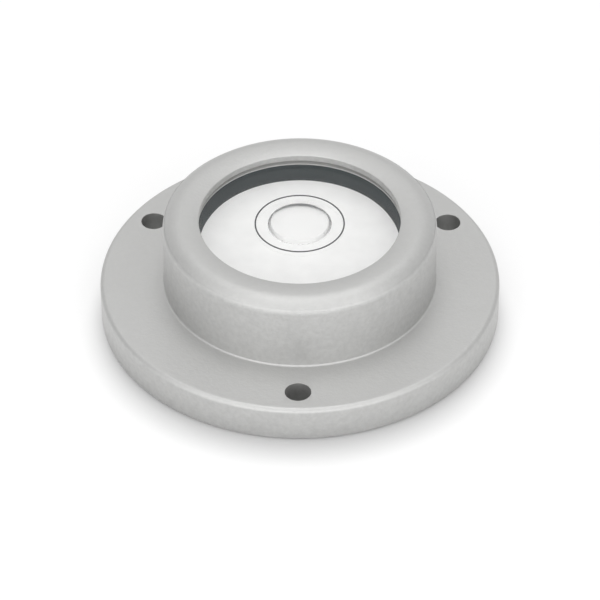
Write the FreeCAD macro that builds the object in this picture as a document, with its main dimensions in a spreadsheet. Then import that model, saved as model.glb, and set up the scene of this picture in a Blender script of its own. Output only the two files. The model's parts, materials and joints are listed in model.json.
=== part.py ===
"""Bullseye level: a flanged round housing with a circular bubble cell, screwed down by three holes.

Millimetres, +Z up. The origin is the middle of the flat underside that the level stands on, and
one of the three fixing holes lies on -Y.
"""
import FreeCAD
import Part
import Sketcher

import math
import os

# Every size that can be set by itself: alias, value in mm (or a count), what it is.
SIZES = [
    ("window_dia", 25.0, "clear opening of the sight window"),
    ("lens_seat_width", 1.5, "how far the lip reaches over the edge of the lens"),
    ("fit_clearance", 0.05, "radial play between the bore and what slides into it"),
    ("boss_wall", 2.95, "wall of the boss round the bore"),
    ("flange_ledge", 8.0, "flange outside the boss"),
    ("flange_thickness", 4.8, "height of the flange"),
    ("flange_edge_round", 0.6, "rounding of the flange's top edge"),
    ("flange_foot_chamfer", 0.3, "chamfer round the underside"),
    ("seam_round", 0.25, "fillet between flange and boss"),
    ("crown_shoulder", 2.2, "crest of the domed rim, inwards from the boss wall"),
    ("crown_outer_drop", 1.25, "fall of the rim from its crest to the boss wall"),
    ("crown_inner_drop", 0.32, "fall of the rim from its crest to the window"),
    ("lip_height", 0.78, "upright lip between the rim and the lens"),
    ("hole_dia", 3.2, "fixing hole, clear of an M3 screw"),
    ("hole_offset", 4.65, "middle of a fixing hole, outwards from the boss wall"),
    ("hole_count", 3, "fixing holes, evenly spaced"),
    ("lens_thickness", 1.25, "edge thickness of the lens"),
    ("lens_curve_radius", 150.0, "radius of the lens's hollow underside"),
    ("lens_bevel", 0.15, "bevel on the lens's upper edge"),
    ("ring_dia", 11.0, "middle line of the sighting ring"),
    ("ring_width", 0.16, "line width of the sighting ring"),
    ("ring_depth", 0.1, "depth of the engraved sighting ring"),
    ("gasket_thickness", 0.3, "squeezed gasket below the lens"),
    ("chamber_height", 4.05, "height of the dark chamber ring"),
    ("chamber_inset", 0.15, "chamber ring's mouth, outwards from the window's edge"),
    ("chamber_draft", 0.25, "how much narrower the chamber ring is at its foot"),
    ("chamber_bevel", 0.2, "bevel on the chamber ring's outer corners"),
    ("dial_thickness", 0.6, "white disc at the foot of the chamber"),
    ("bubble_dia", 7.95, "widest circle of the bubble"),
    ("bubble_depth", 1.5, "bubble, from its widest circle down"),
    ("bubble_sink", 0.68, "widest circle of the bubble, below the lens"),
    ("bubble_drift", 0.72, "how far the bubble has wandered towards +Y"),
    ("plug_recess", 0.3, "base plug, inwards from the underside"),
    ("plug_thread_step", 0.45, "plug thread, outwards from the bore"),
    ("plug_thread_length", 3.3, "threaded foot of the base plug"),
    ("plug_spigot_length", 3.6, "plain upper part of the base plug"),
    ("plug_chamfer", 0.35, "chamfer at the foot of the plug and at the mouth of its bore"),
    ("relief_height", 0.8, "run-out groove above the thread"),
    ("relief_depth", 0.3, "run-out groove, outwards from the thread"),
    ("seal_section", 1.3, "squeezed section of the base plug's sealing ring"),
    ("seal_chamfer", 0.4, "flattened corners of the squeezed sealing ring"),
    ("seal_groove_play", 0.3, "groove width beyond the sealing ring's section"),
    ("spanner_hole_dia", 2.0, "pin spanner holes in the base plug"),
    ("spanner_hole_spacing", 18.0, "pin spanner holes, middle to middle"),
    ("spanner_hole_depth", 2.0, "depth of the pin spanner holes"),
    ("filler_dia", 4.0, "thread of the filler screw"),
    ("filler_head_overhang", 1.4, "filler screw's head, outwards from its thread"),
    ("filler_head_height", 1.6, "height of the filler screw's head"),
    ("filler_head_recess", 0.4, "filler screw's head, inwards from the plug's face"),
    ("filler_head_play", 0.3, "room round the filler screw's head"),
    ("filler_tip_gap", 0.6, "filler screw's tip, below the dial disc"),
    ("filler_bevel", 0.25, "bevels on the filler screw"),
    ("slot_width", 0.9, "screwdriver slot"),
    ("slot_depth", 0.8, "depth of the screwdriver slot"),
    ("washer_thickness", 0.6, "sealing washer below the filler screw's head"),
]

# Radii and heights that follow from the sizes, each from the sizes and from the places above it.
PLACES = [
    ("window_radius", "sizes.window_dia / 2"),
    ("cell_radius", "window_radius + sizes.lens_seat_width"),
    ("bore_radius", "cell_radius + sizes.fit_clearance"),
    ("boss_radius", "bore_radius + sizes.boss_wall"),
    ("flange_radius", "boss_radius + sizes.flange_ledge"),
    ("crest_radius", "boss_radius - sizes.crown_shoulder"),
    ("hole_circle_radius", "boss_radius + sizes.hole_offset"),
    ("plug_bottom", "sizes.plug_recess"),
    ("thread_top", "plug_bottom + sizes.plug_thread_length"),
    ("plug_top", "thread_top + sizes.plug_spigot_length"),
    ("dial_top", "plug_top + sizes.dial_thickness"),
    ("chamber_top", "dial_top + sizes.chamber_height"),
    ("gasket_top", "chamber_top + sizes.gasket_thickness"),
    ("lens_top", "gasket_top + sizes.lens_thickness"),
    ("window_edge", "lens_top + sizes.lip_height"),
    ("crest", "window_edge + sizes.crown_inner_drop"),
    ("crown_edge", "crest - sizes.crown_outer_drop"),
    ("crown_outer_round", "(sizes.crown_shoulder ^ 2 + sizes.crown_outer_drop ^ 2) / (2 * sizes.crown_outer_drop)"),
    ("crown_inner_span", "crest_radius - window_radius"),
    ("crown_inner_round", "(crown_inner_span ^ 2 + sizes.crown_inner_drop ^ 2) / (2 * sizes.crown_inner_drop)"),
    ("foot_radius", "flange_radius - sizes.flange_foot_chamfer"),
    ("foot_top", "sizes.flange_foot_chamfer"),
    ("edge_round", "sizes.flange_edge_round"),
    ("edge_radius", "flange_radius - edge_round"),
    ("flange_top", "sizes.flange_thickness"),
    ("edge_foot", "flange_top - edge_round"),
    ("seam_round", "sizes.seam_round"),
    ("seam_radius", "boss_radius + seam_round"),
    ("seam_top", "flange_top + seam_round"),
    ("thread_radius", "bore_radius + sizes.plug_thread_step"),
    ("thread_bore_radius", "thread_radius + sizes.fit_clearance"),
    ("mouth_radius", "thread_bore_radius + sizes.plug_chamfer"),
    ("mouth_top", "sizes.plug_chamfer"),
    ("relief_radius", "thread_bore_radius + sizes.relief_depth"),
    ("relief_top", "thread_top + sizes.relief_height"),
    ("chamber_mouth_radius", "window_radius + sizes.chamber_inset"),
    ("chamber_foot_radius", "chamber_mouth_radius - sizes.chamber_draft"),
    ("chamber_bevel_radius", "cell_radius - sizes.chamber_bevel"),
    ("chamber_bevel_low", "dial_top + sizes.chamber_bevel"),
    ("chamber_bevel_high", "chamber_top - sizes.chamber_bevel"),
    ("curve_radius", "sizes.lens_curve_radius"),
    ("lens_apex", "gasket_top + curve_radius - sqrt(curve_radius ^ 2 - chamber_mouth_radius ^ 2)"),
    ("lens_bevel_radius", "cell_radius - sizes.lens_bevel"),
    ("lens_bevel_foot", "lens_top - sizes.lens_bevel"),
    ("ring_inner_radius", "(sizes.ring_dia - sizes.ring_width) / 2"),
    ("ring_outer_radius", "(sizes.ring_dia + sizes.ring_width) / 2"),
    ("ring_floor", "lens_top - sizes.ring_depth"),
    ("plug_chamfer_radius", "thread_radius - sizes.plug_chamfer"),
    ("plug_chamfer_top", "plug_bottom + sizes.plug_chamfer"),
    ("seal_height", "(relief_top + plug_top) / 2"),
    ("seal_bottom", "seal_height - sizes.seal_section / 2"),
    ("seal_top", "seal_height + sizes.seal_section / 2"),
    ("seal_flat_low", "seal_bottom + sizes.seal_chamfer"),
    ("seal_flat_high", "seal_top - sizes.seal_chamfer"),
    ("groove_radius", "bore_radius - sizes.seal_section"),
    ("seal_inner_flat", "groove_radius + sizes.seal_chamfer"),
    ("seal_outer_flat", "bore_radius - sizes.seal_chamfer"),
    ("groove_bottom", "seal_height - (sizes.seal_section + sizes.seal_groove_play) / 2"),
    ("groove_top", "seal_height + (sizes.seal_section + sizes.seal_groove_play) / 2"),
    ("shank_radius", "sizes.filler_dia / 2"),
    ("head_radius", "shank_radius + sizes.filler_head_overhang"),
    ("head_bottom", "plug_bottom + sizes.filler_head_recess"),
    ("head_top", "head_bottom + sizes.filler_head_height"),
    ("head_bevel_radius", "head_radius - sizes.filler_bevel"),
    ("head_bevel_top", "head_bottom + sizes.filler_bevel"),
    ("pocket_radius", "head_radius + sizes.filler_head_play"),
    ("pocket_top", "head_top + sizes.washer_thickness"),
    ("filler_bore_radius", "shank_radius + sizes.fit_clearance"),
    ("tip_top", "plug_top - sizes.filler_tip_gap"),
    ("tip_radius", "shank_radius - sizes.filler_bevel"),
    ("tip_foot", "tip_top - sizes.filler_bevel"),
]

doc = FreeCAD.newDocument("bullseye_level")


def write_sizes():
    """The spreadsheet of driving sizes."""
    sheet = doc.addObject("Spreadsheet::Sheet", "sizes")
    for row, (alias, value, meaning) in enumerate(SIZES, start=1):
        sheet.set(f"A{row}", meaning)
        sheet.set(f"B{row}", str(value))
        sheet.setAlias(f"B{row}", alias)
    doc.recompute()
    return sheet


def work_out_places():
    """The named radii and heights, each bound to the spreadsheet."""
    places = doc.addObject("App::VarSet", "places")
    for name, formula in PLACES:
        places.addProperty("App::PropertyFloat", name, "Places")
        places.setExpression(name, formula)
        doc.recompute()
    return places


sizes = write_sizes()
places = work_out_places()


def place(name):
    """The present value of a named place; 'axis' and 'base' are the two zero lines."""
    return 0.0 if name in ("axis", "base") else getattr(places, name)


def origin_plane(body, role):
    """One of a body's own origin planes."""
    return next(item for item in body.Origin.OriginFeatures if item.Role == role)


def new_sketch(body, name, role):
    """An empty sketch on one of the body's origin planes."""
    sketch = body.newObject("Sketcher::SketchObject", name)
    sketch.AttachmentSupport = (origin_plane(body, role), "")
    sketch.MapMode = "FlatFace"
    return sketch


def bind(sketch, constraint, name, expression):
    """Add a dimension to a sketch and tie it to an expression."""
    index = sketch.addConstraint(constraint)
    sketch.renameConstraint(index, name)
    sketch.setExpression(f"Constraints.{name}", expression)


def arc_between(start, end, radius, bulge):
    """The arc from start to end; a bulge of 1 puts its middle on the right of the way there."""
    chord = end - start
    side = FreeCAD.Vector(chord.y, -chord.x, 0).normalize() * bulge
    half = chord.Length / 2
    middle = (start + end) / 2 - side * math.sqrt(radius ** 2 - half ** 2)
    circle = Part.Circle(middle, FreeCAD.Vector(0, 0, 1), radius)
    first, last = (start, end) if bulge > 0 else (end, start)
    return Part.ArcOfCircle(circle, circle.parameter(first), circle.parameter(last))


def draw_outline(sketch, outline):
    """Close an outline of (radius, height[, round, bulge]) corners, each tied to its places.

    A corner with a round is joined to the next one by an arc of that radius.
    """
    corners = [FreeCAD.Vector(place(corner[0]), place(corner[1]), 0) for corner in outline]
    starts = []
    ends = []
    for index, corner in enumerate(outline):
        start = corners[index]
        end = corners[(index + 1) % len(outline)]
        if len(corner) == 4:
            shape = arc_between(start, end, place(corner[2]), corner[3])
            starts.append(1 if corner[3] > 0 else 2)
        else:
            shape = Part.LineSegment(start, end)
            starts.append(1)
        ends.append(3 - starts[-1])
        sketch.addGeometry(shape, False)
    for index, corner in enumerate(outline):
        before = (index - 1) % len(outline)
        sketch.addConstraint(Sketcher.Constraint("Coincident", before, ends[before], index, starts[index]))
        for axis, kind, line, name in ((0, "DistanceX", -2, "across"), (1, "DistanceY", -1, "up")):
            if place(corner[axis]) == 0:
                sketch.addConstraint(Sketcher.Constraint("PointOnObject", index, starts[index], line))
            else:
                dimension = Sketcher.Constraint(kind, -1, 1, index, starts[index], place(corner[axis]))
                bind(sketch, dimension, f"{name}_{index}", f"places.{corner[axis]}")
        if len(corner) == 4:
            dimension = Sketcher.Constraint("Radius", index, place(corner[2]))
            bind(sketch, dimension, f"round_{index}", f"places.{corner[2]}")


def turned(label, outline):
    """A body turned about Z from an outline."""
    body = doc.addObject("PartDesign::Body", label)
    body.Label = label
    sketch = new_sketch(body, f"{label}_section", "XZ_Plane")
    draw_outline(sketch, outline)
    turning = body.newObject("PartDesign::Revolution", f"{label}_turning")
    turning.Profile = sketch
    turning.ReferenceAxis = (sketch, ["V_Axis"])
    turning.Angle = 360
    doc.recompute()
    return body


def bored_from_below(body, name, sketch, depth=None):
    """A pocket cut upwards from the underside, to a depth or right through."""
    before = body.Shape.Volume
    pocket = body.newObject("PartDesign::Pocket", name)
    pocket.Profile = sketch
    pocket.Reversed = True
    if depth is None:
        pocket.Type = "ThroughAll"
    else:
        pocket.setExpression("Length", depth)
    doc.recompute()
    if body.Shape.Volume >= before:
        raise RuntimeError(f"{name} cuts nothing")
    return pocket


def make_housing():
    """The turned housing: flange, boss with a domed rim, window lip and stepped bore."""
    body = turned("housing", [
        ("mouth_radius", "base"),
        ("foot_radius", "base"),
        ("flange_radius", "foot_top"),
        ("flange_radius", "edge_foot", "edge_round", 1),
        ("edge_radius", "flange_top"),
        ("seam_radius", "flange_top", "seam_round", -1),
        ("boss_radius", "seam_top"),
        ("boss_radius", "crown_edge", "crown_outer_round", 1),
        ("crest_radius", "crest", "crown_inner_round", 1),
        ("window_radius", "window_edge"),
        ("window_radius", "lens_top"),
        ("bore_radius", "lens_top"),
        ("bore_radius", "relief_top"),
        ("relief_radius", "relief_top"),
        ("relief_radius", "thread_top"),
        ("thread_bore_radius", "thread_top"),
        ("thread_bore_radius", "mouth_top"),
    ])
    sketch = new_sketch(body, "fixing_hole_circle", "XY_Plane")
    middle = FreeCAD.Vector(0, -place("hole_circle_radius"), 0)
    sketch.addGeometry(Part.Circle(middle, FreeCAD.Vector(0, 0, 1), sizes.hole_dia / 2), False)
    sketch.addConstraint(Sketcher.Constraint("PointOnObject", 0, 3, -2))
    offset = Sketcher.Constraint("DistanceY", 0, 3, -1, 1, place("hole_circle_radius"))
    bind(sketch, offset, "circle_radius", "places.hole_circle_radius")
    bind(sketch, Sketcher.Constraint("Diameter", 0, sizes.hole_dia), "bore", "sizes.hole_dia")
    pocket = bored_from_below(body, "fixing_hole", sketch)
    pattern = body.newObject("PartDesign::PolarPattern", "fixing_holes")
    pattern.Originals = [pocket]
    pattern.Axis = (sketch, ["N_Axis"])
    pattern.Angle = 360
    pattern.setExpression("Occurrences", "sizes.hole_count")
    body.Tip = pattern
    return body


def make_lens():
    """The sight glass: flat above, hollow below, with a groove for the sighting ring."""
    return turned("sight_lens", [
        ("axis", "lens_apex", "curve_radius", -1),
        ("chamber_mouth_radius", "gasket_top"),
        ("cell_radius", "gasket_top"),
        ("cell_radius", "lens_bevel_foot"),
        ("lens_bevel_radius", "lens_top"),
        ("ring_outer_radius", "lens_top"),
        ("ring_outer_radius", "ring_floor"),
        ("ring_inner_radius", "ring_floor"),
        ("ring_inner_radius", "lens_top"),
        ("axis", "lens_top"),
    ])


def make_sighting_ring():
    """The dark filling of the engraved ring, flush with the lens."""
    return turned("sighting_ring", [
        ("ring_inner_radius", "ring_floor"),
        ("ring_outer_radius", "ring_floor"),
        ("ring_outer_radius", "lens_top"),
        ("ring_inner_radius", "lens_top"),
    ])


def make_lens_gasket():
    """The flat gasket that the lens is pressed down on."""
    return turned("lens_gasket", [
        ("chamber_mouth_radius", "chamber_top"),
        ("bore_radius", "chamber_top"),
        ("bore_radius", "gasket_top"),
        ("chamber_mouth_radius", "gasket_top"),
    ])


def make_chamber_ring():
    """The dark moulded ring that walls the fluid, drafted towards its foot."""
    return turned("chamber_ring", [
        ("chamber_foot_radius", "dial_top"),
        ("chamber_bevel_radius", "dial_top"),
        ("cell_radius", "chamber_bevel_low"),
        ("cell_radius", "chamber_bevel_high"),
        ("chamber_bevel_radius", "chamber_top"),
        ("chamber_mouth_radius", "chamber_top"),
    ])


def make_dial_disc():
    """The white disc seen through the fluid."""
    return turned("dial_disc", [
        ("axis", "plug_top"),
        ("cell_radius", "plug_top"),
        ("cell_radius", "dial_top"),
        ("axis", "dial_top"),
    ])


def make_fluid():
    """The fluid that fills the chamber, less the bubble under the lens."""
    filling = turned("chamber_filling", [
        ("axis", "dial_top"),
        ("chamber_foot_radius", "dial_top"),
        ("chamber_mouth_radius", "chamber_top"),
        ("chamber_mouth_radius", "gasket_top", "curve_radius", 1),
        ("axis", "lens_apex"),
    ])
    bubble = doc.addObject("Part::Ellipsoid", "bubble")
    bubble.setExpression("Radius1", "sizes.bubble_depth")
    bubble.setExpression("Radius2", "sizes.bubble_dia / 2")
    bubble.setExpression("Radius3", "sizes.bubble_dia / 2")
    bubble.setExpression("Placement.Base.y", "sizes.bubble_drift")
    bubble.setExpression("Placement.Base.z", "places.lens_apex - sizes.bubble_sink")
    fluid = doc.addObject("Part::Cut", "level_fluid")
    fluid.Label = "level_fluid"
    fluid.Base = filling
    fluid.Tool = bubble
    return fluid


def make_base_plug():
    """The threaded plug that closes the bore and presses the stack against the lip."""
    body = turned("base_plug", [
        ("pocket_radius", "plug_bottom"),
        ("plug_chamfer_radius", "plug_bottom"),
        ("thread_radius", "plug_chamfer_top"),
        ("thread_radius", "thread_top"),
        ("cell_radius", "thread_top"),
        ("cell_radius", "groove_bottom"),
        ("groove_radius", "groove_bottom"),
        ("groove_radius", "groove_top"),
        ("cell_radius", "groove_top"),
        ("cell_radius", "plug_top"),
        ("filler_bore_radius", "plug_top"),
        ("filler_bore_radius", "pocket_top"),
        ("pocket_radius", "pocket_top"),
    ])
    sketch = new_sketch(body, "spanner_hole_circles", "XY_Plane")
    reach = sizes.spanner_hole_spacing / 2
    for index, side in enumerate((-1, 1)):
        middle = FreeCAD.Vector(side * reach, 0, 0)
        sketch.addGeometry(Part.Circle(middle, FreeCAD.Vector(0, 0, 1), sizes.spanner_hole_dia / 2), False)
        sketch.addConstraint(Sketcher.Constraint("PointOnObject", index, 3, -1))
        ends = (-1, 1, index, 3) if side > 0 else (index, 3, -1, 1)
        offset = Sketcher.Constraint("DistanceX", *ends, reach)
        bind(sketch, offset, f"reach_{index}", "sizes.spanner_hole_spacing / 2")
        diameter = Sketcher.Constraint("Diameter", index, sizes.spanner_hole_dia)
        bind(sketch, diameter, f"bore_{index}", "sizes.spanner_hole_dia")
    bored_from_below(body, "spanner_holes", sketch, "places.plug_bottom + sizes.spanner_hole_depth")
    return body


def make_plug_seal():
    """The rubber ring in the base plug's groove, squeezed between groove and bore."""
    return turned("plug_seal", [
        ("seal_inner_flat", "seal_bottom"),
        ("seal_outer_flat", "seal_bottom"),
        ("bore_radius", "seal_flat_low"),
        ("bore_radius", "seal_flat_high"),
        ("seal_outer_flat", "seal_top"),
        ("seal_inner_flat", "seal_top"),
        ("groove_radius", "seal_flat_high"),
        ("groove_radius", "seal_flat_low"),
    ])


def make_filler_screw():
    """The slotted screw that closes the filling hole in the base plug."""
    body = turned("filler_screw", [
        ("axis", "head_bottom"),
        ("head_bevel_radius", "head_bottom"),
        ("head_radius", "head_bevel_top"),
        ("head_radius", "head_top"),
        ("shank_radius", "head_top"),
        ("shank_radius", "tip_foot"),
        ("tip_radius", "tip_top"),
        ("axis", "tip_top"),
    ])
    sketch = new_sketch(body, "slot_outline", "XY_Plane")
    long_half = place("pocket_radius")
    short_half = sizes.slot_width / 2
    corners = [(-1, -1), (1, -1), (1, 1), (-1, 1)]
    points = [FreeCAD.Vector(x * long_half, y * short_half, 0) for x, y in corners]
    for index, start in enumerate(points):
        sketch.addGeometry(Part.LineSegment(start, points[(index + 1) % 4]), False)
    for index, kind in enumerate(("Horizontal", "Vertical", "Horizontal", "Vertical")):
        sketch.addConstraint(Sketcher.Constraint(kind, index))
        sketch.addConstraint(Sketcher.Constraint("Coincident", (index - 1) % 4, 2, index, 1))
    sketch.addConstraint(Sketcher.Constraint("Symmetric", 0, 1, 2, 1, -1, 1))
    length = Sketcher.Constraint("DistanceX", 0, 1, 0, 2, 2 * long_half)
    bind(sketch, length, "slot_length", "2 * places.pocket_radius")
    width = Sketcher.Constraint("DistanceY", 1, 1, 1, 2, 2 * short_half)
    bind(sketch, width, "slot_width", "sizes.slot_width")
    bored_from_below(body, "screwdriver_slot", sketch, "places.head_bottom + sizes.slot_depth")
    return body


def make_filler_washer():
    """The soft washer below the filler screw's head."""
    return turned("filler_washer", [
        ("filler_bore_radius", "head_top"),
        ("head_radius", "head_top"),
        ("head_radius", "pocket_top"),
        ("filler_bore_radius", "pocket_top"),
    ])


def check_document():
    """Stop if anything in the document failed to compute."""
    for item in doc.Objects:
        if "Invalid" in item.State or "Error" in item.State:
            raise RuntimeError(f"{item.Name} is {item.State}")


def write_parts(parts):
    """One STEP file for each sub-part, named after its label."""
    for part in parts:
        if part.Shape.isNull() or not part.Shape.isValid() or len(part.Shape.Solids) != 1:
            raise RuntimeError(f"{part.Label} has no valid single solid")
    os.makedirs("parts", exist_ok=True)
    for part in parts:
        part.Shape.exportStep(f"parts/{part.Label}.step")
        print(part.Label, round(part.Shape.Volume, 2))


sub_parts = [
    make_housing(),
    make_lens(),
    make_sighting_ring(),
    make_lens_gasket(),
    make_chamber_ring(),
    make_dial_disc(),
    make_fluid(),
    make_base_plug(),
    make_plug_seal(),
    make_filler_screw(),
    make_filler_washer(),
]
doc.recompute()
check_document()
write_parts(sub_parts)
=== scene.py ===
"""Bullseye level: the finish of the flanged housing and its bubble cell, with a plain studio stage.

Metres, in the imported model's frame: +Z up, origin in the middle of the underside.
"""

import json
import math

import bmesh
import bpy
from bpy.props import FloatProperty, FloatVectorProperty, IntProperty, PointerProperty
from mathutils import Matrix, Vector


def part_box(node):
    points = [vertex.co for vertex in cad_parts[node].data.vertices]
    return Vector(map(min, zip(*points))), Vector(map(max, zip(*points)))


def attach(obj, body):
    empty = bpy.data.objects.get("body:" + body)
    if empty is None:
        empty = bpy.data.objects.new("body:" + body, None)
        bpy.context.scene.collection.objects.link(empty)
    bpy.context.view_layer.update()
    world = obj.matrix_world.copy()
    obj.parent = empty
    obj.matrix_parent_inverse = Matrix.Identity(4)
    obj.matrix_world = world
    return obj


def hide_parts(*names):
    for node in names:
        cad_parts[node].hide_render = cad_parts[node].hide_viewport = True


bl_info = {
    "name": "Bullseye Level",
    "version": (1, 0, 0),
    "blender": (4, 5, 0),
    "location": "View3D > Sidebar > Level",
    "description": "Dresses a screw-down bullseye level and sets it on a studio stage",
    "category": "Add Mesh",
}

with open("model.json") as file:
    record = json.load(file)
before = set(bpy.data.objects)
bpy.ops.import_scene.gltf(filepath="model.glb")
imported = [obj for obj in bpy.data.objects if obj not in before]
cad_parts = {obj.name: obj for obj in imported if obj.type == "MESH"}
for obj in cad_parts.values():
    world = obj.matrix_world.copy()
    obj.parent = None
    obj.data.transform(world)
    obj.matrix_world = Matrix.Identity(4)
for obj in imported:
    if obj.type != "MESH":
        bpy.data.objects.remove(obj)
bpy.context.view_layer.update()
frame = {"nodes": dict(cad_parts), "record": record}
MM = 0.001
HOLES = frame["record"]["mounts"][0]

# Corners closer than this are one, and how near an edge lies to the circle that it is picked by.
SAME_CORNER = 0.001 * MM
ON_CIRCLE = 0.01 * MM
# Faces that meet at more than this keep a hard edge between them.
SHARP_ANGLE = math.radians(28)

# Scales of the noise textures, in features per metre.
FINE_GRAIN = 2800
BLAST_MARKS = 1500
METAL_CLOUDS = 120
TURNED_MOTTLE = 600
PLASTIC_GRAIN = 2500
PLASTIC_MOTTLE = 400
WIPE_MARKS = 60
# Most values of a noise texture lie between these.
NOISE_LOW = 0.3
NOISE_HIGH = 0.7
# Scale of the wave texture, which puts the turning marks 0.35 mm apart.
TURNING_MARKS = 900

# Depths of the bumps on blasted metal and on everything finer.
BLAST_DEPTH = 0.03 * MM
FINE_DEPTH = 0.01 * MM

# How much the aluminium's colour varies on walls and on level faces.
WALL_SPREAD = 0.065
LEVEL_SPREAD = 0.015

# Refractive indices.
GLASS_IOR = 1.5
SPIRIT_IOR = 1.36

BUBBLE_SEGMENTS = 192
BUBBLE_RINGS = 96
FLOOR_RADIUS = 6.0
FLOOR_SIDES = 96
SENSOR_WIDTH = 36.0


def radius_of(node):
    """Outer radius of a turned node."""
    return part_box(node)[1].x


def foot_of(node):
    """Height of a node's lowest point."""
    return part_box(node)[0].z


def top_of(node):
    """Height of a node's highest point."""
    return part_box(node)[1].z


def length(name, description, default):
    """A property that holds a length."""
    return FloatProperty(name=name, description=description, default=default, unit="LENGTH",
                         subtype="DISTANCE", precision=5)


def colour(name, description, default):
    """A property that holds a colour."""
    return FloatVectorProperty(name=name, description=description, default=default, size=3,
                               subtype="COLOR", min=0.0, max=1.0)


class LevelSizes(bpy.types.PropertyGroup):
    """Sizes of the level that its nodes' boxes don't give."""

    flange_thickness: length("Flange thickness", "Height of the flange", HOLES["pos_m"][2])
    flange_edge_round: length("Flange edge", "Rounding of the flange's top edge", 0.6 * MM)
    foot_chamfer: length("Foot chamfer", "Chamfer round the underside", 0.3 * MM)
    boss_radius: length("Boss radius", "Outer radius of the boss", 17.0 * MM)
    seam_round: length("Seam", "Fillet between flange and boss", 0.25 * MM)
    crest_radius: length("Crest radius", "Where the domed rim is highest", 14.8 * MM)
    crown_outer_drop: length("Outer drop", "Fall of the rim to the boss wall", 1.25 * MM)
    crown_inner_drop: length("Inner drop", "Fall of the rim to the window", 0.32 * MM)
    crease_round: length("Crease", "Softening where the rim meets the boss wall", 0.4 * MM)
    edge_break: length("Edge break", "Softening of the small sharp edges", 0.06 * MM)
    hole_break: length("Hole break", "Softening of the drilled holes' edges", 0.02 * MM)
    window_radius: length("Window radius", "Clear opening of the window", 12.5 * MM)
    relief_height: length("Relief height", "Run-out groove above the plug's thread", 0.8 * MM)
    relief_depth: length("Relief depth", "Run-out groove, outwards from the thread", 0.3 * MM)
    plug_chamfer: length("Plug chamfer", "Chamfer on the plug and its bore", 0.35 * MM)
    thread_length: length("Thread length", "Threaded foot of the plug", 3.3 * MM)
    play: length("Play", "Radial play between pieces", 0.05 * MM)
    lens_curve: length("Lens curve", "Radius of the lens's hollow underside", 150.0 * MM)
    lens_bevel: length("Lens bevel", "Bevel on the lens's upper edge", 0.15 * MM)
    chamber_inset: length("Chamber inset", "Chamber ring's mouth, outwards from the window", 0.15 * MM)
    chamber_draft: length("Chamber draft", "How much narrower the chamber ring is at its foot", 0.25 * MM)
    ring_width: length("Ring width", "Line width of the sighting ring", 0.16 * MM)
    bubble_radius: length("Bubble radius", "Widest circle of the bubble", 3.975 * MM)
    bubble_depth: length("Bubble depth", "Bubble, from its widest circle down", 1.5 * MM)
    bubble_sink: length("Bubble sink", "Widest circle of the bubble, below the lens", 0.68 * MM)
    bubble_drift: length("Bubble drift", "How far the bubble has wandered", 0.72 * MM)
    contact: length("Contact", "How far a wetted or pressed face reaches into its neighbour", 0.01 * MM)
    segments: IntProperty(name="Segments", description="Facets round the axis", default=320, min=32)


class LevelFinishes(bpy.types.PropertyGroup):
    """Colours of the level's finishes, and the painted glow of its disc."""

    aluminium: colour("Aluminium", "Blasted and clear anodised aluminium", (0.54, 0.54, 0.533))
    chamber: colour("Chamber", "Dark wall of the bubble chamber", (0.017, 0.026, 0.029))
    dial: colour("Dial", "White disc under the fluid", (0.62, 0.62, 0.61))
    # Painted light: a glow on the dial disc, which is no lamp, that lifts the shade the rim casts on its
    # far part.
    dial_painted_glow: FloatProperty(name="Dial glow", default=0.30,
                              description="Glow added to the white disc, more than a real one has")
    gasket: colour("Gasket", "Grey rubber under the lens", (0.44, 0.44, 0.43))
    ring: colour("Ring", "Paint of the sighting ring", (0.06, 0.06, 0.065))
    rubber: colour("Rubber", "Black sealing rubber", (0.02, 0.02, 0.02))
    steel: colour("Steel", "Stainless filler screw", (0.58, 0.57, 0.55))
    nylon: colour("Washer", "Natural plastic washer", (0.80, 0.78, 0.72))


class StageSettings(bpy.types.PropertyGroup):
    """Camera, floor and surrounding light of the studio stage."""

    distance: length("Distance", "Camera to the level", 450.0 * MM)
    elevation: FloatProperty(name="Elevation", description="Camera above the horizon",
                             default=math.radians(40.475), subtype="ANGLE", unit="ROTATION")
    azimuth: FloatProperty(name="Azimuth", description="Camera's turn round the level",
                           default=math.radians(0.75), subtype="ANGLE", unit="ROTATION")
    roll: FloatProperty(name="Roll", description="Camera's tilt about its line of sight",
                        default=math.radians(0.22), subtype="ANGLE", unit="ROTATION")
    lens: FloatProperty(name="Lens", description="Focal length in millimetres", default=214.26)
    aim_height: length("Aim height", "Height that the camera looks at", 0.90 * MM)
    floor_white: FloatProperty(name="Floor", description="Reflectance of the floor", default=0.58)
    floor_glow: FloatProperty(name="Floor glow", description="White added to the floor as seen",
                              default=0.34)
    # The four values below shape where the floor's glow fades out round the level, which paints the
    # shadow's outline.
    shadow_ahead: length("Shadow ahead", "How far the shadow's middle lies to the front", 5.0 * MM)
    shadow_spread: FloatProperty(name="Shadow spread", default=1.07,
                                 description="How much wider than deep the shadow is")
    shadow_core: length("Shadow core", "Radius of the floor that gets no glow", 20.2 * MM)
    shadow_rim: length("Shadow rim", "Radius where the floor is white again", 26.0 * MM)
    world_strength: FloatProperty(name="World", description="Strength of the surrounding light",
                                  default=0.63)


def sizes():
    """The level's sizes in this scene."""
    return bpy.context.scene.level_sizes


def finishes():
    """The level's colours in this scene."""
    return bpy.context.scene.level_finishes


def arc(start, end, radius, bulge=1, steps=12):
    """Points from start to just before end, bulging to the right of the way, or with -1 to the left."""
    start = Vector(start)
    end = Vector(end)
    chord = end - start
    side = Vector((chord.y, -chord.x)).normalized() * bulge
    centre = (start + end) / 2 - side * math.sqrt(radius ** 2 - (chord.length / 2) ** 2)
    first = math.atan2(start.y - centre.y, start.x - centre.x)
    last = math.atan2(end.y - centre.y, end.x - centre.x)
    turn = (last - first + math.pi) % (2 * math.pi) - math.pi
    points = []
    for step in range(steps):
        angle = first + turn * step / steps
        points.append((centre.x + radius * math.cos(angle), centre.y + radius * math.sin(angle)))
    return points


def rim_radius(shoulder, drop):
    """Radius of an arc that leaves a crest level and falls by drop over a shoulder."""
    return (shoulder ** 2 + drop ** 2) / (2 * drop)


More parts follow.
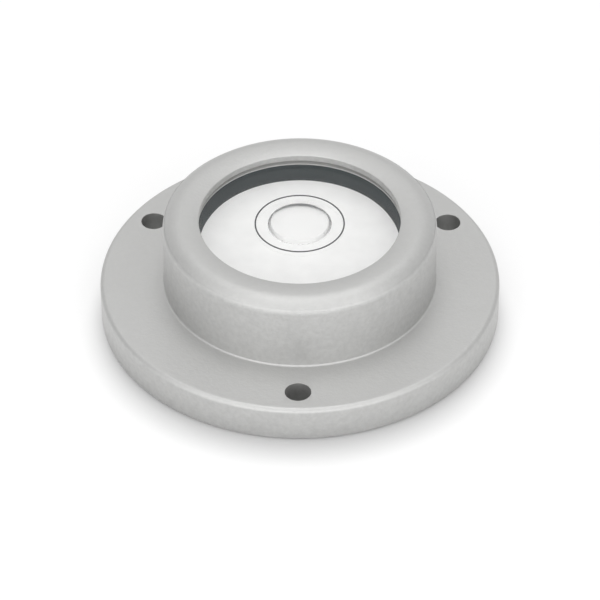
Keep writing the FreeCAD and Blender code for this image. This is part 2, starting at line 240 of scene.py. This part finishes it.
def lens_apex(foot):
    """Height of the middle of the lens's hollow underside, for a lens with its foot at a height."""
    s = sizes()
    mouth = s.window_radius + s.chamber_inset
    return foot + s.lens_curve - math.sqrt(s.lens_curve ** 2 - mouth ** 2)


def turned(outline):
    """A bmesh turned about Z from a closed outline of (radius, height) points."""
    shape = bmesh.new()
    corners = [shape.verts.new((radius, 0, height)) for radius, height in outline]
    for index, corner in enumerate(corners):
        following = corners[(index + 1) % len(corners)]
        if corner.co.x > 0 or following.co.x > 0:
            shape.edges.new((corner, following))
    bmesh.ops.spin(shape, geom=shape.verts[:] + shape.edges[:], cent=(0, 0, 0), axis=(0, 0, 1),
                   angle=2 * math.pi, steps=sizes().segments, use_merge=True)
    bmesh.ops.remove_doubles(shape, verts=shape.verts[:], dist=SAME_CORNER)
    bmesh.ops.recalc_face_normals(shape, faces=shape.faces[:])
    return shape


def soften_circle(shape, radius, height, width):
    """Bevel the circular edge at a radius and height."""
    def on_circle(corner):
        aside = abs(corner.co.xy.length - radius)
        return aside < ON_CIRCLE and abs(corner.co.z - height) < ON_CIRCLE

    rim = [edge for edge in shape.edges if all(on_circle(corner) for corner in edge.verts)]
    if not rim:
        raise RuntimeError(f"no edge lies at radius {radius} and height {height}")
    bmesh.ops.bevel(shape, geom=rim, offset=width, segments=3, profile=0.5, affect="EDGES",
                    material=-1)


def finish_piece(name, shape, material, node):
    """Turn a bmesh into a piece that stands for a node."""
    mesh = bpy.data.meshes.new(name)
    shape.to_mesh(mesh)
    shape.free()
    piece = bpy.data.objects.new(name, mesh)
    bpy.context.scene.collection.objects.link(piece)
    mesh.shade_smooth()
    mesh.set_sharp_from_angle(angle=SHARP_ANGLE)
    mesh.materials.append(material)
    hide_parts(node)
    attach(piece, "root")
    return piece


def cut(shape, tools):
    """Take closed bmeshes out of a closed bmesh and give back the result."""
    def as_object(name, solid):
        mesh = bpy.data.meshes.new(name)
        solid.to_mesh(mesh)
        solid.free()
        item = bpy.data.objects.new(name, mesh)
        bpy.context.scene.collection.objects.link(item)
        return item

    work = as_object("work", shape)
    cutters = [as_object(f"cutter_{index}", tool) for index, tool in enumerate(tools)]
    for cutter in cutters:
        modifier = work.modifiers.new("cut", "BOOLEAN")
        modifier.operation = "DIFFERENCE"
        modifier.solver = "EXACT"
        modifier.object = cutter
    bpy.context.view_layer.update()
    depsgraph = bpy.context.evaluated_depsgraph_get()
    result = bmesh.new()
    result.from_mesh(work.evaluated_get(depsgraph).to_mesh())
    for item in [work, *cutters]:
        mesh = item.data
        bpy.data.objects.remove(item)
        bpy.data.meshes.remove(mesh)
    return result


def flared_drill(radius, foot, top, flare):
    """A cutter for a through hole from foot to top, with both edges broken by a small flare."""
    over = 1.0 * MM
    return turned([
        (0, foot - over),
        (radius + flare + over, foot - over),
        (radius, foot + flare),
        (radius, top - flare),
        (radius + flare + over, top + over),
        (0, top + over),
    ])


def shader_of(material):
    """The shader node of a material."""
    return material.node_tree.nodes["Principled BSDF"]


def new_material(name):
    """A node material with its shader node, node tree and texture coordinates."""
    material = bpy.data.materials.new(name)
    material.use_nodes = True
    tree = material.node_tree
    shader = shader_of(material)
    coordinates = tree.nodes.new("ShaderNodeTexCoord")
    return material, tree, shader, coordinates


def noise(tree, coordinates, scale, detail=3.0):
    """A noise texture in object space; scale is in features per metre."""
    texture = tree.nodes.new("ShaderNodeTexNoise")
    texture.inputs["Scale"].default_value = scale
    texture.inputs["Detail"].default_value = detail
    tree.links.new(coordinates.outputs["Object"], texture.inputs["Vector"])
    return texture


def ramp_between(tree, source, low, high):
    """Map a 0 to 1 texture value onto a range."""
    mapping = tree.nodes.new("ShaderNodeMapRange")
    mapping.inputs["From Min"].default_value = NOISE_LOW
    mapping.inputs["From Max"].default_value = NOISE_HIGH
    mapping.inputs["To Min"].default_value = low
    mapping.inputs["To Max"].default_value = high
    tree.links.new(source, mapping.inputs["Value"])
    return mapping.outputs["Result"]


def tinted(tree, source, base, spread):
    """A colour that varies round base by a share, driven by a texture value."""
    mix = tree.nodes.new("ShaderNodeMix")
    mix.data_type = "RGBA"
    mix.inputs["A"].default_value = [channel * (1 - spread) for channel in base] + [1]
    mix.inputs["B"].default_value = [min(1, channel * (1 + spread)) for channel in base] + [1]
    tree.links.new(ramp_between(tree, source, low=0.0, high=1.0), mix.inputs["Factor"])
    return mix.outputs["Result"]


def add_bump(tree, shader, source, strength, distance, below=None):
    """Push a height texture into the shader's normal, over any bump below it."""
    bump = tree.nodes.new("ShaderNodeBump")
    bump.inputs["Strength"].default_value = strength
    bump.inputs["Distance"].default_value = distance
    tree.links.new(source, bump.inputs["Height"])
    if below:
        tree.links.new(below.outputs["Normal"], bump.inputs["Normal"])
    tree.links.new(bump.outputs["Normal"], shader.inputs["Normal"])
    return bump


def level_share(tree, coordinates):
    """0 on upright faces, up to 1 on level ones."""
    parts = tree.nodes.new("ShaderNodeSeparateXYZ")
    tree.links.new(coordinates.outputs["Normal"], parts.inputs["Vector"])
    share = tree.nodes.new("ShaderNodeMath")
    share.operation = "ABSOLUTE"
    tree.links.new(parts.outputs["Z"], share.inputs[0])
    return share.outputs["Value"]


def blasted_aluminium():
    """Bead-blasted, clear anodised aluminium, with a coarser look on walls than on level faces."""
    material, tree, shader, coordinates = new_material("blasted_aluminium")
    shader.inputs["Metallic"].default_value = 1.0
    grain = noise(tree, coordinates, FINE_GRAIN, detail=2.0)
    marks = noise(tree, coordinates, BLAST_MARKS, detail=4.0)
    marks.inputs["Roughness"].default_value = 0.65
    cloud = noise(tree, coordinates, METAL_CLOUDS, detail=2.0)
    base = finishes().aluminium
    skin = tree.nodes.new("ShaderNodeMix")
    skin.data_type = "RGBA"
    tree.links.new(level_share(tree, coordinates), skin.inputs["Factor"])
    tree.links.new(tinted(tree, marks.outputs["Fac"], base, WALL_SPREAD), skin.inputs["A"])
    tree.links.new(tinted(tree, marks.outputs["Fac"], base, LEVEL_SPREAD), skin.inputs["B"])
    tree.links.new(skin.outputs["Result"], shader.inputs["Base Color"])
    roughness = ramp_between(tree, cloud.outputs["Fac"], low=0.52, high=0.58)
    tree.links.new(roughness, shader.inputs["Roughness"])
    coarse = add_bump(tree, shader, marks.outputs["Fac"], strength=0.6, distance=BLAST_DEPTH)
    add_bump(tree, shader, grain.outputs["Fac"], strength=0.8, distance=BLAST_DEPTH, below=coarse)
    return material


def turned_metal(name, base, roughness):
    """Metal with fine concentric turning marks."""
    material, tree, shader, coordinates = new_material(name)
    shader.inputs["Metallic"].default_value = 1.0
    marks = tree.nodes.new("ShaderNodeTexWave")
    marks.wave_type = "RINGS"
    marks.rings_direction = "Z"
    marks.inputs["Scale"].default_value = TURNING_MARKS
    marks.inputs["Distortion"].default_value = 0.6
    marks.inputs["Detail"].default_value = 2.0
    tree.links.new(coordinates.outputs["Object"], marks.inputs["Vector"])
    mottle = noise(tree, coordinates, TURNED_MOTTLE)
    tree.links.new(tinted(tree, mottle.outputs["Fac"], base, spread=0.03), shader.inputs["Base Color"])
    tree.links.new(ramp_between(tree, mottle.outputs["Fac"], roughness - 0.04, roughness + 0.04),
                   shader.inputs["Roughness"])
    add_bump(tree, shader, marks.outputs["Fac"], strength=0.3, distance=FINE_DEPTH)
    return material


def moulded(name, base, roughness, grain=0.15):
    """Matt moulded plastic or rubber with a fine grain."""
    material, tree, shader, coordinates = new_material(name)
    mottle = noise(tree, coordinates, PLASTIC_MOTTLE)
    texture = noise(tree, coordinates, PLASTIC_GRAIN, detail=2.0)
    tree.links.new(tinted(tree, mottle.outputs["Fac"], base, spread=0.04), shader.inputs["Base Color"])
    tree.links.new(ramp_between(tree, mottle.outputs["Fac"], roughness - 0.05, roughness + 0.05),
                   shader.inputs["Roughness"])
    add_bump(tree, shader, texture.outputs["Fac"], strength=grain, distance=FINE_DEPTH)
    return material


def clear(name, ior, haze, mirror):
    """A clear medium that lets lamps through; haze is its range of roughness, mirror scales reflections."""
    material, tree, shader, coordinates = new_material(name)
    shader.inputs["Base Color"].default_value = (1.0, 1.0, 1.0, 1.0)
    shader.inputs["Transmission Weight"].default_value = 1.0
    shader.inputs["IOR"].default_value = ior
    shader.inputs["Specular Tint"].default_value = (mirror, mirror, mirror, 1.0)
    wipe = noise(tree, coordinates, WIPE_MARKS)
    tree.links.new(ramp_between(tree, wipe.outputs["Fac"], *haze), shader.inputs["Roughness"])
    path = tree.nodes.new("ShaderNodeLightPath")
    lit = tree.nodes.new("ShaderNodeMath")
    lit.operation = "MAXIMUM"
    tree.links.new(path.outputs["Is Shadow Ray"], lit.inputs[0])
    tree.links.new(path.outputs["Is Diffuse Ray"], lit.inputs[1])
    through = tree.nodes.new("ShaderNodeBsdfTransparent")
    either = tree.nodes.new("ShaderNodeMixShader")
    tree.links.new(lit.outputs["Value"], either.inputs["Fac"])
    tree.links.new(shader.outputs["BSDF"], either.inputs[1])
    tree.links.new(through.outputs["BSDF"], either.inputs[2])
    tree.links.new(either.outputs["Shader"], tree.nodes["Material Output"].inputs["Surface"])
    return material


def housing_outline(crest, crown_edge, window_edge):
    """The housing's section, from the bore's mouth round the outside and back down the bore."""
    s = sizes()
    flange = radius_of("housing")
    lens_top = top_of("sight_lens")
    bore = radius_of("lens_gasket")
    thread = radius_of("base_plug") + s.play
    thread_top = foot_of("base_plug") + s.thread_length
    relief_top = thread_top + s.relief_height
    relief = thread + s.relief_depth
    top = s.flange_thickness
    outer_round = rim_radius(s.boss_radius - s.crest_radius, s.crown_outer_drop)
    inner_round = rim_radius(s.crest_radius - s.window_radius, s.crown_inner_drop)
    edge = s.flange_edge_round
    seam = s.seam_round
    outline = [(thread + s.plug_chamfer, 0.0), (flange - s.foot_chamfer, 0.0), (flange, s.foot_chamfer)]
    outline += arc((flange, top - edge), (flange - edge, top), edge)
    outline += [(flange - edge, top)]
    outline += arc((s.boss_radius + seam, top), (s.boss_radius, top + seam), seam, bulge=-1, steps=6)
    outline += [(s.boss_radius, top + seam)]
    outline += arc((s.boss_radius, crown_edge), (s.crest_radius, crest), outer_round, steps=20)
    outline += arc((s.crest_radius, crest), (s.window_radius, window_edge), inner_round)
    outline += [(s.window_radius, window_edge), (s.window_radius, lens_top), (bore, lens_top)]
    outline += [(bore, relief_top), (relief, relief_top), (relief, thread_top)]
    outline += [(thread, thread_top), (thread, s.plug_chamfer)]
    return outline


def hole_drills():
    """Cutters for the fixing holes, evenly spaced from the one at the front."""
    s = sizes()
    reach = HOLES["dims"]["pcd_mm"] * MM / 2
    count = HOLES["dims"]["count"]
    drills = []
    for index in range(count):
        angle = 2 * math.pi * index / count - math.pi / 2
        drill = flared_drill(HOLES["dims"]["hole_r_mm"] * MM, 0.0, s.flange_thickness, s.hole_break)
        bmesh.ops.translate(drill, verts=drill.verts[:],
                            vec=(reach * math.cos(angle), reach * math.sin(angle), 0))
        drills.append(drill)
    return drills


class LEVEL_OT_housing(bpy.types.Operator):
    """Turn the housing, with its domed rim, lip, stepped bore and three drilled holes."""

    bl_idname = "level.housing"
    bl_label = "Housing"

    def execute(self, context):
        s = sizes()
        crest = top_of("housing")
        crown_edge = crest - s.crown_outer_drop
        window_edge = crest - s.crown_inner_drop
        shape = turned(housing_outline(crest, crown_edge, window_edge))
        soften_circle(shape, s.boss_radius, crown_edge, s.crease_round)
        soften_circle(shape, s.window_radius, window_edge, s.edge_break)
        shape = cut(shape, hole_drills())
        finish_piece("housing_turned", shape, blasted_aluminium(), "housing")
        return {"FINISHED"}


class LEVEL_OT_lens(bpy.types.Operator):
    """Turn the sight lens and fill its engraved sighting ring."""

    bl_idname = "level.lens"
    bl_label = "Lens"

    def execute(self, context):
        s = sizes()
        foot = foot_of("sight_lens")
        top = top_of("sight_lens")
        edge = radius_of("sight_lens")
        mouth = s.window_radius + s.chamber_inset
        outer = radius_of("sighting_ring")
        inner = outer - s.ring_width
        floor = foot_of("sighting_ring")
        outline = arc((0.0, lens_apex(foot)), (mouth, foot), s.lens_curve, bulge=-1, steps=10)
        outline += [(mouth, foot), (edge, foot), (edge, top - s.lens_bevel), (edge - s.lens_bevel, top)]
        outline += [(outer, top), (outer, floor), (inner, floor), (inner, top), (0.0, top)]
        glass = clear("clear_glass", GLASS_IOR, haze=(0.0, 0.01), mirror=0.6)
        finish_piece("sight_glass", turned(outline), glass, "sight_lens")
        ring = [(inner - s.contact, floor - s.contact), (outer + s.contact, floor - s.contact)]
        ring += [(outer + s.contact, top), (inner - s.contact, top)]
        paint = moulded("ring_paint", finishes().ring, roughness=0.5)
        finish_piece("sighting_line", turned(ring), paint, "sighting_ring")
        return {"FINISHED"}


class LEVEL_OT_chamber(bpy.types.Operator):
    """Turn the gasket, the dark chamber ring and the white dial disc, which has a painted glow."""

    bl_idname = "level.chamber"
    bl_label = "Chamber"

    def execute(self, context):
        s = sizes()
        mouth = s.window_radius + s.chamber_inset
        foot = foot_of("chamber_ring")
        top = top_of("chamber_ring")
        edge = radius_of("chamber_ring")
        ring = [(mouth - s.chamber_draft, foot), (edge, foot), (edge, top), (mouth, top)]
        plastic = moulded("chamber_plastic", finishes().chamber, roughness=0.55)
        shader_of(plastic).inputs["Specular IOR Level"].default_value = 0.08
        finish_piece("chamber_wall", turned(ring), plastic, "chamber_ring")
        gasket_top = top_of("lens_gasket") + s.contact
        bore = radius_of("lens_gasket")
        gasket = [(mouth, top), (bore, top), (bore, gasket_top), (mouth, gasket_top)]
        rubber = moulded("gasket_rubber", finishes().gasket, roughness=0.7)
        finish_piece("gasket_flat", turned(gasket), rubber, "lens_gasket")
        low = foot_of("dial_disc")
        high = top_of("dial_disc")
        disc = [(0.0, low), (edge, low), (edge, high), (0.0, high)]
        white = moulded("dial_white", finishes().dial, roughness=0.6, grain=0.05)
        # Painted light: the disc glows, though it is no lamp, so the rim's shade on its far part is lifted
        # and it looks evenly white.
        shader_of(white).inputs["Emission Color"].default_value = (1.0, 1.0, 1.0, 1.0)
        shader_of(white).inputs["Emission Strength"].default_value = finishes().dial_painted_glow
        finish_piece("dial_plate", turned(disc), white, "dial_disc")
        return {"FINISHED"}


def bubble_shape(height):
    """The bubble, a flattened ball with its widest circle at a height."""
    s = sizes()
    bubble = bmesh.new()
    bmesh.ops.create_uvsphere(bubble, u_segments=BUBBLE_SEGMENTS, v_segments=BUBBLE_RINGS,
                              radius=1.0)
    bmesh.ops.scale(bubble, verts=bubble.verts[:],
                    vec=(s.bubble_radius, s.bubble_radius, s.bubble_depth))
    bmesh.ops.translate(bubble, verts=bubble.verts[:], vec=(0, s.bubble_drift, height))
    return bubble


def mark_skin(shape, low, high):
    """Give the faces round the bubble, between two heights, the second material."""
    s = sizes()
    reach = s.bubble_radius + s.contact
    for face in shape.faces:
        middle = face.calc_center_median()
        aside = (middle.xy - Vector((0, s.bubble_drift))).length
        if aside < reach and low < middle.z < high:
            face.material_index = 1


class LEVEL_OT_fluid(bpy.types.Operator):
    """Fill the chamber with fluid and leave out the bubble."""

    bl_idname = "level.fluid"
    bl_label = "Fluid"

    def execute(self, context):
        s = sizes()
        low = top_of("dial_disc") - s.contact
        chamber_top = top_of("chamber_ring")
        gasket_top = foot_of("sight_lens")
        mouth = s.window_radius + s.chamber_inset
        apex = lens_apex(gasket_top)
        wet = mouth + s.contact
        outline = [(0.0, low), (wet - s.chamber_draft, low), (wet, chamber_top)]
        outline += arc((wet, gasket_top + s.contact), (0.0, apex + s.contact), s.lens_curve, steps=10)
        outline += [(0.0, apex + s.contact)]
        shape = cut(turned(outline), [bubble_shape(apex - s.bubble_sink)])
        mark_skin(shape, low + s.contact, apex - s.contact)
        spirit = clear("level_spirit", SPIRIT_IOR, haze=(0.0, 0.005), mirror=0.2)
        fluid = finish_piece("fluid_fill", shape, spirit, "level_fluid")
        skin = clear("bubble_skin", SPIRIT_IOR, haze=(0.48, 0.55), mirror=1.0)
        fluid.data.materials.append(skin)
        return {"FINISHED"}


class LEVEL_OT_underside(bpy.types.Operator):
    """Finish the plug, its seal and the filler screw with its washer."""

    bl_idname = "level.underside"
    bl_label = "Underside"

    def execute(self, context):
        colours = finishes()
        finish = {
            "base_plug": turned_metal("plug_aluminium", colours.aluminium, roughness=0.35),
            "filler_screw": turned_metal("screw_steel", colours.steel, roughness=0.3),
            "plug_seal": moulded("seal_rubber", colours.rubber, roughness=0.6),
            "filler_washer": moulded("washer_nylon", colours.nylon, roughness=0.5),
        }
        for node, material in finish.items():
            mesh = frame["nodes"][node].data
            mesh.materials.clear()
            mesh.materials.append(material)
        return {"FINISHED"}


def camera_rays(tree):
    """1 for rays that show the background: camera, glossy and transmission rays."""
    path = tree.nodes.new("ShaderNodeLightPath")
    total = path.outputs["Is Camera Ray"]
    for name in ("Is Glossy Ray", "Is Transmission Ray"):
        either = tree.nodes.new("ShaderNodeMath")
        either.operation = "MAXIMUM"
        tree.links.new(total, either.inputs[0])
        tree.links.new(path.outputs[name], either.inputs[1])
        total = either.outputs["Value"]
    return total


def floor_paper(settings):
    """Matt paper that glows white to the camera, except in an ellipse round the level that paints its
    shadow.
    """
    material, tree, shader, coordinates = new_material("floor_paper")
    shader.inputs["Base Color"].default_value = [settings.floor_white] * 3 + [1.0]
    shader.inputs["Roughness"].default_value = 0.9
    shader.inputs["Specular IOR Level"].default_value = 0.0
    shader.inputs["Emission Color"].default_value = (1.0, 1.0, 1.0, 1.0)
    squeeze = tree.nodes.new("ShaderNodeVectorMath")
    squeeze.operation = "MULTIPLY"
    squeeze.inputs[1].default_value = (1.0 / settings.shadow_spread, 1.0, 1.0)
    tree.links.new(coordinates.outputs["Object"], squeeze.inputs[0])
    distance = tree.nodes.new("ShaderNodeVectorMath")
    distance.operation = "DISTANCE"
    distance.inputs[1].default_value = (0.0, -settings.shadow_ahead, 0.0)
    tree.links.new(squeeze.outputs["Vector"], distance.inputs[0])
    # Painted shadow: the glow fades out in this ellipse, so the floor's own darker shading shows there.
    painted_shadow_fade = tree.nodes.new("ShaderNodeMapRange")
    painted_shadow_fade.interpolation_type = "SMOOTHSTEP"
    painted_shadow_fade.inputs["From Min"].default_value = settings.shadow_core
    painted_shadow_fade.inputs["From Max"].default_value = settings.shadow_rim
    painted_shadow_fade.inputs["To Max"].default_value = settings.floor_glow
    tree.links.new(distance.outputs["Value"], painted_shadow_fade.inputs["Value"])
    glow = tree.nodes.new("ShaderNodeMath")
    glow.operation = "MULTIPLY"
    tree.links.new(camera_rays(tree), glow.inputs[0])
    tree.links.new(painted_shadow_fade.outputs["Result"], glow.inputs[1])
    tree.links.new(glow.outputs["Value"], shader.inputs["Emission Strength"])
    return material


def make_floor(settings):
    """A pale round floor under the level, which shows its shadow: real shading, with its outline painted by
    where the glow fades.
    """
    shape = bmesh.new()
    bmesh.ops.create_circle(shape, cap_ends=True, segments=FLOOR_SIDES, radius=FLOOR_RADIUS)
    mesh = bpy.data.meshes.new("floor")
    shape.to_mesh(mesh)
    shape.free()
    mesh.materials.append(floor_paper(settings))
    floor = bpy.data.objects.new("floor", mesh)
    bpy.context.scene.collection.objects.link(floor)


def make_world(settings):
    """Even light from all round."""
    world = bpy.data.worlds.new("studio")
    bpy.context.scene.world = world
    world.use_nodes = True
    background = world.node_tree.nodes["Background"]
    background.inputs["Color"].default_value = (1.0, 1.0, 1.0, 1.0)
    background.inputs["Strength"].default_value = settings.world_strength


def softbox(name, azimuth, elevation, width, height, radiance):
    """A soft light one metre from the level; radiance is its brightness as seen."""
    around = math.radians(azimuth)
    above = math.radians(elevation)
    place = Vector((math.sin(around) * math.cos(above), -math.cos(around) * math.cos(above),
                    math.sin(above)))
    lamp = bpy.data.lights.new(name, "AREA")
    lamp.shape = "RECTANGLE"
    lamp.size = width
    lamp.size_y = height
    lamp.energy = radiance * math.pi * width * height
    light = bpy.data.objects.new(name, lamp)
    light.location = place
    light.rotation_euler = place.to_track_quat("Z", "Y").to_euler()
    bpy.context.scene.collection.objects.link(light)


def make_camera(settings):
    """The camera, looking at the level from the front and above."""
    azimuth = settings.azimuth
    elevation = settings.elevation
    away = Vector((math.sin(azimuth) * math.cos(elevation),
                   -math.cos(azimuth) * math.cos(elevation), math.sin(elevation)))
    right = Vector((math.cos(azimuth), math.sin(azimuth), 0.0))
    turn = Matrix.Rotation(-settings.roll, 3, away)
    right = turn @ right
    up = away.cross(right)
    place = Vector((0.0, 0.0, settings.aim_height)) + away * settings.distance
    data = bpy.data.cameras.new("camera")
    data.lens = settings.lens
    data.sensor_width = SENSOR_WIDTH
    camera = bpy.data.objects.new("camera", data)
    rotation = Matrix((right, up, away)).transposed().to_4x4()
    camera.matrix_world = Matrix.Translation(place) @ rotation
    bpy.context.scene.collection.objects.link(camera)
    bpy.context.scene.camera = camera


class LEVEL_OT_stage(bpy.types.Operator):
    """Set the camera, the floor and the light."""

    bl_idname = "level.stage"
    bl_label = "Stage"

    def execute(self, context):
        settings = context.scene.level_stage
        make_camera(settings)
        make_floor(settings)
        make_world(settings)
        # Azimuth and elevation in degrees, width and height in metres, radiance.
        softbox("overhead", 0, 88, 0.7, 0.7, 1.12)
        softbox("top_light", 180, 76, 0.5, 0.5, 1.55)
        softbox("left_key", -45, 46, 0.72, 0.72, 1.0)
        softbox("right_key", 45, 46, 0.72, 0.72, 1.0)
        softbox("front_fill", 0, 10, 0.9, 0.4, 2.2)
        softbox("left_fill", -45, 14, 0.7, 0.4, 1.26)
        softbox("right_fill", 45, 14, 0.7, 0.4, 1.26)
        softbox("back_wash", 180, 27, 2.2, 0.9, 0.29)
        context.scene.view_settings.view_transform = "Standard"
        return {"FINISHED"}


class LEVEL_PT_panel(bpy.types.Panel):
    """The level's steps and settings."""

    bl_label = "Bullseye Level"
    bl_idname = "LEVEL_PT_panel"
    bl_space_type = "VIEW_3D"
    bl_region_type = "UI"
    bl_category = "Level"

    def draw(self, context):
        for operator in OPERATORS:
            self.layout.operator(operator.bl_idname)
        for group in (context.scene.level_sizes, context.scene.level_finishes, context.scene.level_stage):
            box = self.layout.box()
            for name in group.bl_rna.properties.keys():
                if name not in ("rna_type", "name"):
                    box.prop(group, name)


GROUPS = {"level_sizes": LevelSizes, "level_finishes": LevelFinishes, "level_stage": StageSettings}
OPERATORS = [LEVEL_OT_housing, LEVEL_OT_lens, LEVEL_OT_chamber, LEVEL_OT_fluid, LEVEL_OT_underside,
             LEVEL_OT_stage]


def register():
    """Register the classes and hang their settings on the scene."""
    for item in [*GROUPS.values(), *OPERATORS, LEVEL_PT_panel]:
        bpy.utils.register_class(item)
    for name, group in GROUPS.items():
        setattr(bpy.types.Scene, name, PointerProperty(type=group))


def unregister():
    """Take the settings and classes away again."""
    for name in GROUPS:
        delattr(bpy.types.Scene, name)
    for item in [LEVEL_PT_panel, *reversed(OPERATORS), *GROUPS.values()]:
        bpy.utils.unregister_class(item)


def main():
    """Build the level and its stage."""
    register()
    bpy.ops.level.stage()
    bpy.ops.level.housing()
    bpy.ops.level.lens()
    bpy.ops.level.chamber()
    bpy.ops.level.fluid()
    bpy.ops.level.underside()


if __name__ == "__main__":
    main()
